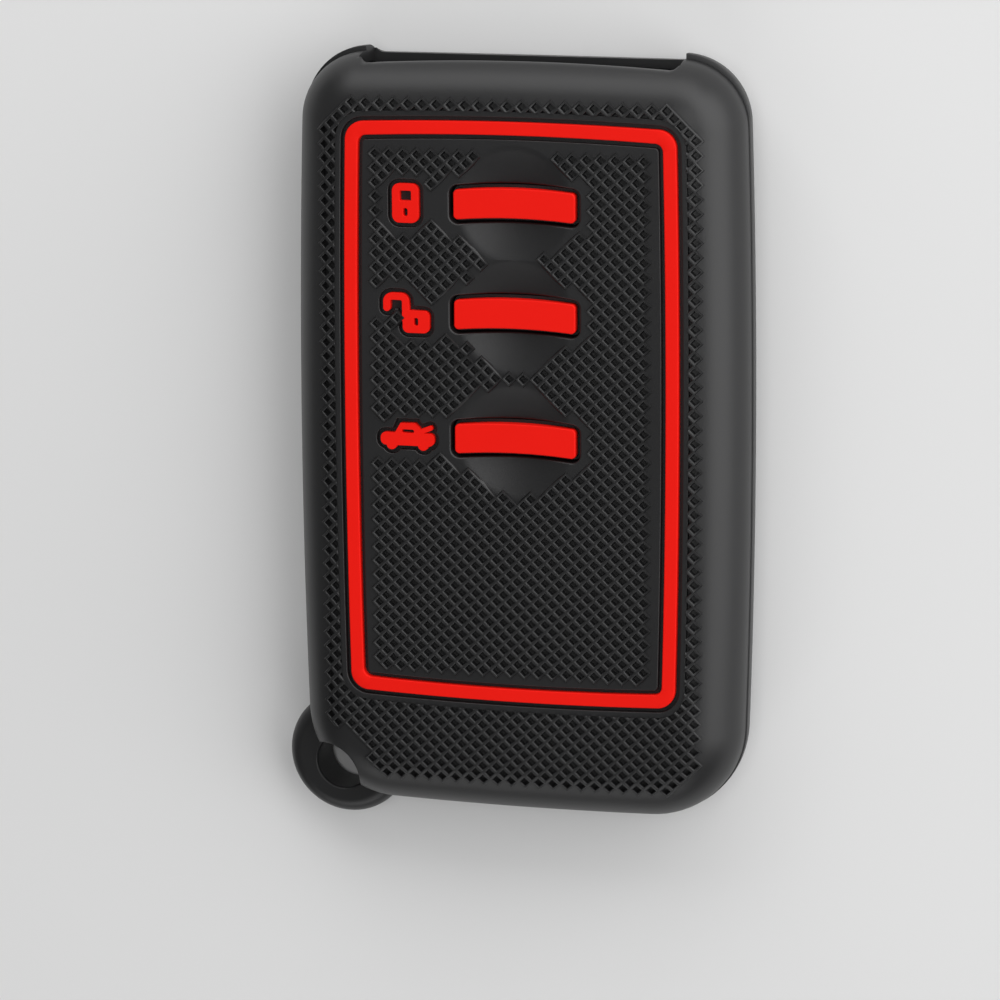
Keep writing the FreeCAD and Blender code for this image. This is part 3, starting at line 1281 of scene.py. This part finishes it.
class LatticeTree(GeometryBench):
    """Diamond cells between crossing ribs, draped over a shell."""

    sizes: tuple[str, ...] = ()

    def __init__(self, name: str) -> None:
        """Start the tree.

        Args:
            name: Name of the tree.
        """
        inputs = {"Cells": "NodeSocketInt", "Period": "NodeSocketVector", "Crossing": "NodeSocketVector"}
        inputs |= {size: "NodeSocketFloat" for size in self.sizes}
        inputs |= {key: "NodeSocketObject" for key in ("Field", "Shell")}
        super().__init__(name, inputs | {"Finish": "NodeSocketMaterial"})

    def cells(self) -> Wire:
        """Lay out the cells whose middles lie in the field, parted where only tips touch.

        Returns:
            The cells as a flat sheet.
        """
        count = self.given("Cells")
        side = math.sqrt(0.5)
        span = count * side
        sides = {"Size X": span, "Size Y": span, "Vertices X": count + 1, "Vertices Y": count + 1}
        grid = self.node("GeometryNodeMeshGrid", {}, sides)
        values = {"Geometry": grid, "Rotation": (0, 0, math.pi / 4)}
        diamonds = self.node("GeometryNodeTransform", {}, values)
        period, crossing = self.given("Period"), self.given("Crossing")
        values = {"Geometry": diamonds, "Scale": period, "Translation": crossing}
        lattice = self.node("GeometryNodeTransform", {}, values)
        inside = self.down("Field", "Is Hit")
        outside = self.node("FunctionNodeBooleanMath", {"operation": "NOT"}, {0: inside})
        values = {"Geometry": lattice, "Selection": outside}
        sheet = self.node("GeometryNodeDeleteGeometry", {"domain": "FACE"}, values)
        return self.node("GeometryNodeSplitEdges", {}, {"Mesh": sheet, "Selection": self.is_open()})

    def is_open(self) -> Wire:
        """Whether an edge has a face on one side only."""
        sides = self.node("GeometryNodeInputMeshEdgeNeighbors", {}, {})
        return self.node("ShaderNodeMath", {"operation": "COMPARE"}, {0: sides, 1: 1.0, 2: 0.1})

    def place(self) -> Wire:
        """Position of the element."""
        return self.node("GeometryNodeInputPosition", {}, {})

    def height(self, place: Wire) -> Wire:
        """Height of a position."""
        return self.node("ShaderNodeSeparateXYZ", {}, {0: place}, "Z")

    def down(self, target: str, output: str) -> Wire:
        """Look straight down on an object from far above.

        Args:
            target: The input that holds the object.
            output: What is asked of the ray.

        Returns:
            What the ray finds.
        """
        values = {
            "Target Geometry": self.shape_of(target),
            "Source Position": self.add(self.place(), (0.0, 0.0, ABOVE)),
            "Ray Direction": (0.0, 0.0, -1.0),
            "Ray Length": ABOVE * 2,
        }
        return self.node("GeometryNodeRaycast", {}, values, output)

    def moved(self, shape: Wire, height: Any, selection: Any = True) -> Wire:
        """Geometry of which the chosen points are raised."""
        values = {"Geometry": shape, "Selection": selection, "Offset": self.vector(0.0, 0.0, height)}
        return self.node("GeometryNodeSetPosition", {}, values)

    def scaled(self, shape: Wire, scale: Wire, selection: Any = True) -> Wire:
        """Geometry of which the chosen faces are scaled about their middles."""
        values = {"Geometry": shape, "Selection": selection, "Scale": scale}
        return self.node("GeometryNodeScaleElements", {"domain": "FACE"}, values)

    def merged(self, parts: Sequence[Wire]) -> Wire:
        """Several geometries with their common points made one."""
        values = {"Geometry": self.join(parts), "Distance": LEVEL}
        return self.node("GeometryNodeMergeByDistance", {}, values)

    def draped(self, shape: Wire) -> Wire:
        """Geometry laid on the shell."""
        return self.moved(shape, self.height(self.down("Shell", "Hit Position")))


class PitTree(LatticeTree):
    """Upright blocks that hollow the shell inside the cells."""

    sizes = ("Pit Share", "Pit Depth", "Headroom")

    def __init__(self) -> None:
        """Build the tree."""
        super().__init__("pit_blocks")
        apart = self.node("GeometryNodeSplitEdges", {}, {"Mesh": self.cells()})
        floor = self.moved(self.scaled(apart, self.given("Pit Share")), self.given("Pit Depth") * -1)
        rise = self.vector(0.0, 0.0, self.given("Pit Depth") + self.given("Headroom"))
        values = {"Mesh": floor, "Offset": rise, "Offset Scale": 1.0, "Individual": True}
        block = self.node("GeometryNodeExtrudeMesh", {"mode": "FACES"}, values)
        under = self.node("GeometryNodeFlipFaces", {}, {"Mesh": floor})
        self.close(self.draped(self.merged([block, under])))


class RibTree(LatticeTree):
    """Rounded ribs round hollow cells, as one closed net."""

    sizes = ("Pitch", "Rib Width", "Rib Height", "Pit Depth", "Wall Lean", "Foot", "Root")
    rounding: tuple[Point, ...] = ((0.45, 0.93), (0.8, 0.6), (1.0, 0.0))

    def __init__(self) -> None:
        """Build the tree."""
        super().__init__("rib_net")
        sheet = self.cells()
        foot, height = self.given("Foot"), self.given("Rib Height")
        top = self._skirt(self._rings(sheet), height + foot)
        root = self.given("Root")
        under = self._skirt(self.moved(sheet, root * -1), foot - root)
        back = self.node("GeometryNodeFlipFaces", {}, {"Mesh": self.draped(under)})
        self.close(self.merged([self.draped(top), back]))

    def _rings(self, sheet: Wire) -> Wire:
        """Step each cell in from the crest of its ribs down to its floor.

        Args:
            sheet: The cells as a flat sheet.

        Returns:
            The hollow cells.
        """
        half, height = self.given("Pitch") * 0.5, self.given("Rib Height")
        steps = [(self.given("Rib Width") * (0.5 * across), height * up) for across, up in self.rounding]
        steps.append((steps[-1][0] + self.given("Wall Lean"), self.given("Pit Depth") * -1))
        shape = self.moved(sheet, height)
        inset_before, height_before, inner = 0.0, height, True
        for inset, level in steps:
            values = {"Mesh": shape, "Selection": inner, "Offset Scale": 0.0, "Individual": True}
            shape = self.node("GeometryNodeExtrudeMesh", {"mode": "FACES"}, values)
            inner = shape.also("Top")
            shape = self.scaled(shape, (half - inset) / (half - inset_before), inner)
            shape = self.moved(shape, level - height_before, inner)
            inset_before, height_before = inset, level
        return shape

    def _skirt(self, sheet: Wire, drop: Wire) -> Wire:
        """Sheet with a slope added all round its open edge.

        Args:
            sheet: The sheet.
            drop: How far the slope falls.

        Returns:
            The sheet with its skirt.
        """
        corner = self.node("GeometryNodeCornersOfEdge", {}, {}, "Corner Index")
        face = self.node("GeometryNodeFaceOfCorner", {}, {"Corner Index": corner}, "Face Index")
        settings = {"domain": "FACE", "data_type": "FLOAT_VECTOR"}
        middle = self.node("GeometryNodeFieldAtIndex", settings, {"Value": self.place(), "Index": face})
        away = self.node("ShaderNodeVectorMath", {"operation": "SUBTRACT"}, {0: self.place(), 1: middle})
        level = self.node("ShaderNodeVectorMath", {"operation": "MULTIPLY"}, {0: away, 1: (1.0, 1.0, 0.0)})
        unit = self.node("ShaderNodeVectorMath", {"operation": "NORMALIZE"}, {0: level})
        width = self.given("Rib Width") * 0.5
        out = self.node("ShaderNodeVectorMath", {"operation": "SCALE"}, {0: unit, "Scale": width})
        values = {
            "Mesh": sheet,
            "Selection": self.is_open(),
            "Offset": self.add(out, self.vector(0.0, 0.0, drop * -1)),
            "Offset Scale": 1.0,
        }
        return self.node("GeometryNodeExtrudeMesh", {"mode": "EDGES"}, values)


@dataclass
class RibField:
    """A field of crossed ribs with hollow cells between them."""

    name: str
    crossing: Point
    period: Point
    cells: int = 100
    rib_width: float = 0.40
    rib_height: float = 0.18
    pit_depth: float = 0.50
    pit_inset: float = 0.6
    wall_lean: float = 0.05
    foot: float = 0.05
    spare: float = 0.05
    headroom: float = 1.0
    sharp: float = 60.0

    @property
    def pitch(self) -> float:
        """Distance from rib to rib."""
        return math.hypot(*self.period) / 2

    def _grow(
        self, tree: bpy.types.NodeTree, name: str, blocks: "FieldBlocks", values: dict[str, Any]
    ) -> bpy.types.Object:
        """Run one of the lattice trees, and cut its result off where the field is closed.

        Args:
            tree: The tree.
            name: Name of the result.
            blocks: Where the field lies.
            values: The tree's own inputs.

        Returns:
            The grown mesh.
        """
        shared = {
            "Cells": self.cells,
            "Period": Vector((*self.period, 1.0)),
            "Crossing": Vector((*self.crossing, 0.0)),
            "Field": blocks.field,
            "Shell": blocks.shell,
        }
        grown_mesh = grow_nodes(name, tree, shared | values)
        if blocks.closed is not None:
            combine(grown_mesh, [blocks.closed], Combine.CUT, keep=True)
        return grown_mesh

    def pits(self, tree: bpy.types.NodeTree, blocks: "FieldBlocks") -> bpy.types.Object:
        """Blocks that hollow the sleeve under the field.

        Args:
            tree: The tree of the blocks.
            blocks: Where the field lies.

        Returns:
            The cutter.
        """
        values = {
            "Pit Share": 1 - self.rib_width * self.pit_inset / self.pitch,
            "Pit Depth": self.pit_depth + self.spare,
            "Headroom": self.headroom,
        }
        return self._grow(tree, self.name + "_pits", blocks, values)

    def ribs(
        self, tree: bpy.types.NodeTree, blocks: "FieldBlocks", material: bpy.types.Material
    ) -> bpy.types.Object:
        """The net of ribs.

        Args:
            tree: The tree of the net.
            blocks: Where the field lies.
            material: Finish of the ribs.

        Returns:
            The finished piece.
        """
        values = {
            "Pitch": self.pitch,
            "Rib Width": self.rib_width,
            "Rib Height": self.rib_height,
            "Pit Depth": self.pit_depth,
            "Wall Lean": self.wall_lean,
            "Foot": self.foot,
            "Root": self.pit_depth + self.spare * 2,
            "Finish": material,
        }
        piece = finished(self._grow(tree, self.name, blocks, values), self.name, material, self.sharp)
        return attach(piece, "sleeve")


@dataclass
class FieldBlocks:
    """Scratch blocks that say where a field of ribs lies."""

    field: bpy.types.Object
    shell: bpy.types.Object
    closed: Optional[bpy.types.Object] = None

    def drop(self) -> None:
        """Remove the blocks, but not the shell."""
        for block in (self.field, self.closed):
            if block is not None:
                bpy.data.objects.remove(block)


@dataclass
class Texture:
    """The ribbed fields on the panel and round the border."""

    cover: Cover
    panel: RibField
    band: RibField
    panel_half: float = 14.1
    panel_low: float = -23.85
    panel_top: float = 29.1
    sign_clear: float = 0.95
    bar_clear: float = 1.3
    dish_clear: float = 0.35
    band_width: float = 38.9
    band_low: float = -35.28
    band_top: float = 34.1
    band_corner: float = 4.0
    band_bow: float = 0.05
    band_clear: float = 1.0
    band_spill: float = 0.55
    lug_clear: float = 4.9

    def _clearing(self, loop: Loop) -> bpy.types.Object:
        """Block that clears a place of cells."""
        return upright("clearing", loop, -SPARE * 2, SPARE * 2)

    def _panel_blocks(self, frame: dict, shell: bpy.types.Object) -> FieldBlocks:
        """Lay out whole cells on the panel, clear of the signs and the buttons.

        Args:
            frame: The loaded frame.
            shell: The sleeve with a plain face.

        Returns:
            The blocks.
        """
        half, low, top = self.panel_half, self.panel_low, self.panel_top
        corners = [(-half, low), (half, low), (half, top), (-half, top)]
        field = upright("panel_field", corners, -SPARE, SPARE)
        clear = []
        rims = rim_loops(frame["nodes"]["sleeve"], self.cover.face, 1)
        for name in ButtonName:
            around = nearest_loop(rims, name.value + "_icon")
            clear.append(self._clearing(grown(around, self.sign_clear)))
            bar = min(rim_loops(frame["nodes"][name.value + "_web"], self.cover.floor, -1), key=signed_area)
            clear.append(self._clearing(grown(bar, self.bar_clear)))
            radius = self.cover.dish_radius + self.dish_clear
            hollow = circle(radius, self.cover.place(name), self.cover.round_steps)
            clear.append(self._clearing(hollow))
        return FieldBlocks(combine(field, clear, Combine.CUT), shell)

    def _band_blocks(self, sleeve: "Sleeve", border: "BorderInlay", shell: bpy.types.Object) -> FieldBlocks:
        """Lay out cells round the border, clear of the lug and of the smooth strip beside the border.

        Args:
            sleeve: Sizes of the sleeve.
            border: Sizes of the border.
            shell: The sleeve with a plain face.

        Returns:
            The blocks.
        """
        length = self.band_top - self.band_low
        rise = (self.band_top + self.band_low) / 2
        bow, corner = self.band_bow, self.band_corner
        outer = BowedOutline(self.band_width, length, bow, bow, corner, corner, rise)
        strip = border.outline.loop(self.band_clear)
        inner = border.outline.loop(self.band_clear - self.band_spill)
        around = circle(self.lug_clear, sleeve.lug, self.cover.round_steps)
        clear = [self._clearing(inner), self._clearing(around)]
        field = combine(upright("band_field", outer.loop(), -SPARE, SPARE), clear, Combine.CUT)
        return FieldBlocks(field, shell, upright("band_strip", strip, 0, self.cover.cut_top * 2))

    def build(
        self, frame: dict, sleeve: "Sleeve", border: "BorderInlay", shell: bpy.types.Object,
        material: bpy.types.Material,
    ) -> tuple[list[bpy.types.Object], list[bpy.types.Object]]:
        """Grow both fields.

        Args:
            frame: The loaded frame.
            sleeve: Sizes of the sleeve.
            border: Sizes of the border.
            shell: The sleeve with a plain face.
            material: Finish of the ribs.

        Returns:
            The finished pieces, and the cutters that hollow their cells in the sleeve.
        """
        band = self._band_blocks(sleeve, border, shell)
        rib_tree, pit_tree = RibTree().tree, PitTree().tree
        pieces, cutters = [], []
        for field, blocks in ((self.panel, self._panel_blocks(frame, shell)), (self.band, band)):
            pieces.append(field.ribs(rib_tree, blocks, material))
            cutters.append(field.pits(pit_tree, blocks))
            blocks.drop()
        return pieces, cutters


@dataclass
class SoftCopy:
    """A small piece on its CAD node, with softly rounded edges."""

    slot: Slot
    soft: float = 0.1
    flat_angle: float = 0.5
    sharp_angle: float = 60.0

    def build(
        self, node: bpy.types.Object, name: str, body: str, material: bpy.types.Material
    ) -> bpy.types.Object:
        """Model the piece.

        Args:
            node: The CAD node that it replaces.
            name: Name of the piece.
            body: The body that it rides on.
            material: Its finish.

        Returns:
            The finished piece.
        """
        copy = frame_mesh(node)
        flat = math.radians(self.flat_angle)
        bmesh.ops.dissolve_limit(copy, angle_limit=flat, verts=copy.verts, edges=copy.edges)
        work = bench_object(name + "_work", copy)
        sharp = math.radians(self.sharp_angle)
        soften(work, lambda edge: edge.calc_face_angle(0.0) > sharp, self.soft)
        piece = finished(work, name, material)
        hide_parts(node.name)
        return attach(piece, body)


@dataclass
class Button:
    """A red bar on its black foot, and the dished skin round it."""

    cover: Cover
    name: ButtonName
    bar_soft: float = 0.14
    foot_soft: float = 0.12
    skin_rim: float = 0.2

    def build(
        self, frame: dict, black: bpy.types.Material, red: bpy.types.Material
    ) -> list[bpy.types.Object]:
        """Model the button.

        Args:
            frame: The loaded frame.
            black: Finish of the foot and the skin.
            red: Finish of the bar.

        Returns:
            The finished pieces.
        """
        word = self.name.value
        nodes = frame["nodes"]
        body = word + "_button"
        bar = SoftCopy(Slot.RED, self.bar_soft).build(nodes[word + "_bar"], word + "_press_bar", body, red)
        core = nodes[word + "_core"]
        foot = SoftCopy(Slot.BLACK, self.foot_soft).build(core, word + "_foot", body, black)
        return [bar, foot, self._skin(nodes[word + "_web"], black)]

    def _skin(self, node: bpy.types.Object, material: bpy.types.Material) -> bpy.types.Object:
        """Model the dished skin that gives way round the bar.

        Args:
            node: The CAD node that it replaces.
            material: Its finish.

        Returns:
            The finished piece.
        """
        cover = self.cover
        loops = sorted(rim_loops(node, cover.floor, -1), key=signed_area)
        inner, outer = grown(loops[0], cover.widen), loops[-1]
        work = upright("skin_work", outer, cover.floor, cover.face)
        dish, low = cover.dish_height(self.name), cover.floor - SPARE
        gap = flared_cutter("gap_cutter", inner, low, dish, self.skin_rim, cover.cut_top)
        combine(work, [cover.dish_cutter(self.name), gap], Combine.CUT)
        piece = finished(work, self.name.value + "_skin", material)
        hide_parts(node.name)
        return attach(piece, "sleeve")


@dataclass(frozen=True)
class SoftPanel:
    """Soft panel light that looks at the cover.

    It stands `turn` degrees to the right of the face's own direction and `lift` degrees towards
    the mouth. Its sizes are in metres, and a glow of 1 is white.
    """

    name: str
    turn: float
    lift: float
    wide: float
    tall: float
    glow: float
    away: float = 0.8

    def build(self) -> None:
        """Place the lamp."""
        a, b = math.radians(self.turn), math.radians(self.lift)
        place = Vector((math.sin(a) * math.cos(b), math.sin(b), math.cos(a) * math.cos(b))) * self.away
        data = bpy.data.lights.new(self.name, "AREA")
        data.shape = "RECTANGLE"
        data.size = self.wide
        data.size_y = self.tall
        data.energy = self.glow * math.pi * self.wide * self.tall
        lamp = bpy.data.objects.new(self.name, data)
        lamp.location = place
        lamp.rotation_mode = "QUATERNION"
        lamp.rotation_quaternion = (-place).to_track_quat("-Z", "Y")
        bpy.context.scene.collection.objects.link(lamp)


@dataclass
class Studio:
    """Floor, light and camera."""

    turn: float = 16.038
    lift: float = 11.962
    roll: float = -0.311
    distance: float = 450.6
    target: tuple[float, float, float] = (-1.07, -5.845, 11.9)
    lens: float = 161.98
    near: float = 0.01
    floor_half: float = 4.0
    surround: float = 0.06
    panels: tuple[SoftPanel, ...] = (
        SoftPanel("key_panel", turn=57.0, lift=14.0, wide=1.2, tall=0.9, glow=2.6),
        SoftPanel("front_panel", turn=5.0, lift=9.0, wide=0.28, tall=0.28, glow=3.5),
        SoftPanel("top_panel", turn=-5.0, lift=62.0, wide=0.9, tall=0.6, glow=2.4),
        SoftPanel("left_panel", turn=-70.0, lift=6.0, wide=0.5, tall=0.9, glow=0.28),
        SoftPanel("low_panel", turn=-12.0, lift=-57.0, wide=0.8, tall=0.4, glow=1.6),
    )

    def build(self) -> None:
        """Set up the stage."""
        self._floor()
        self._world()
        self._camera()
        for panel in self.panels:
            panel.build()
        bpy.context.scene.view_settings.view_transform = "Standard"

    def _floor(self) -> None:
        """Pale floor under the back face."""
        half = self.floor_half / MM
        work = bmesh.new()
        corners = [(-half, -half), (half, -half), (half, half), (-half, half)]
        work.faces.new([work.verts.new((x, y, 0)) for x, y in corners])
        floor = finished(bench_object("floor", work), "floor", FloorPaint().build())

    def _world(self) -> None:
        """Even soft surround."""
        world = bpy.data.worlds.new("studio")
        world.use_nodes = True
        shade = world.node_tree.nodes["Background"]
        shade.inputs["Color"].default_value = (1.0, 1.0, 1.0, 1.0)
        shade.inputs["Strength"].default_value = self.surround
        bpy.context.scene.world = world

    def _camera(self) -> None:
        """Camera at the photograph's viewing angle."""
        a, b, c = (math.radians(v) for v in (self.turn, self.lift, self.roll))
        target = Vector(self.target)
        back = Vector((math.sin(a) * math.cos(b), math.sin(b), math.cos(a) * math.cos(b)))
        side = (-back).cross(Vector((0, 1, 0))).normalized()
        up = side.cross(-back)
        right = math.cos(c) * side + math.sin(c) * up
        above = -math.sin(c) * side + math.cos(c) * up
        data = bpy.data.cameras.new("camera")
        data.lens = self.lens
        data.clip_start = self.near
        camera = bpy.data.objects.new("camera", data)
        pose = Matrix((right, above, back)).transposed().to_4x4()
        pose.translation = (target + back * self.distance) * MM
        camera.matrix_world = pose
        bpy.context.scene.collection.objects.link(camera)
        bpy.context.scene.camera = camera


def main() -> None:
    """Build the cover round the frame."""
    logging.basicConfig(level=logging.INFO, format="%(message)s")
    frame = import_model()
    Studio().build()
    black = Silicone(
        "black_silicone_grain",
        dark=(0.008, 0.008, 0.0085, 1),
        light=(0.011, 0.011, 0.0115, 1),
        roughness=0.42,
        roughness_swing=0.06,
        specular=0.5,
    ).build()
    red = Silicone(
        "red_silicone_satin",
        dark=(0.76, 0.008, 0.004, 1),
        light=(0.82, 0.010, 0.005, 1),
        roughness=0.5,
        roughness_swing=0.06,
        specular=0.1,
    ).build()
    cover = Cover()
    border = BorderInlay(cover)
    sleeve = Sleeve(cover)
    shell = sleeve.shell()
    texture = Texture(
        cover,
        RibField("panel_ribs", (2.83, -7.065), (1.451, 1.429)),
        RibField("band_ribs", (2.035, -10.66), (1.465, 1.431)),
    )
    pieces, pits = texture.build(frame, sleeve, border, shell, black)
    pieces += [sleeve.build(frame, shell, [border.groove_cutter()] + pits, black), border.build(red)]
    for name in ButtonName:
        icon = frame["nodes"][name.value + "_icon"]
        pieces.append(SoftCopy(Slot.RED).build(icon, name.value + "_sign", "sleeve", red))
        pieces += Button(cover, name).build(frame, black, red)
    for piece in pieces:
        LOG.info("%s: %d faces", piece.name, len(piece.data.polygons))


if __name__ == "__main__":
    main()
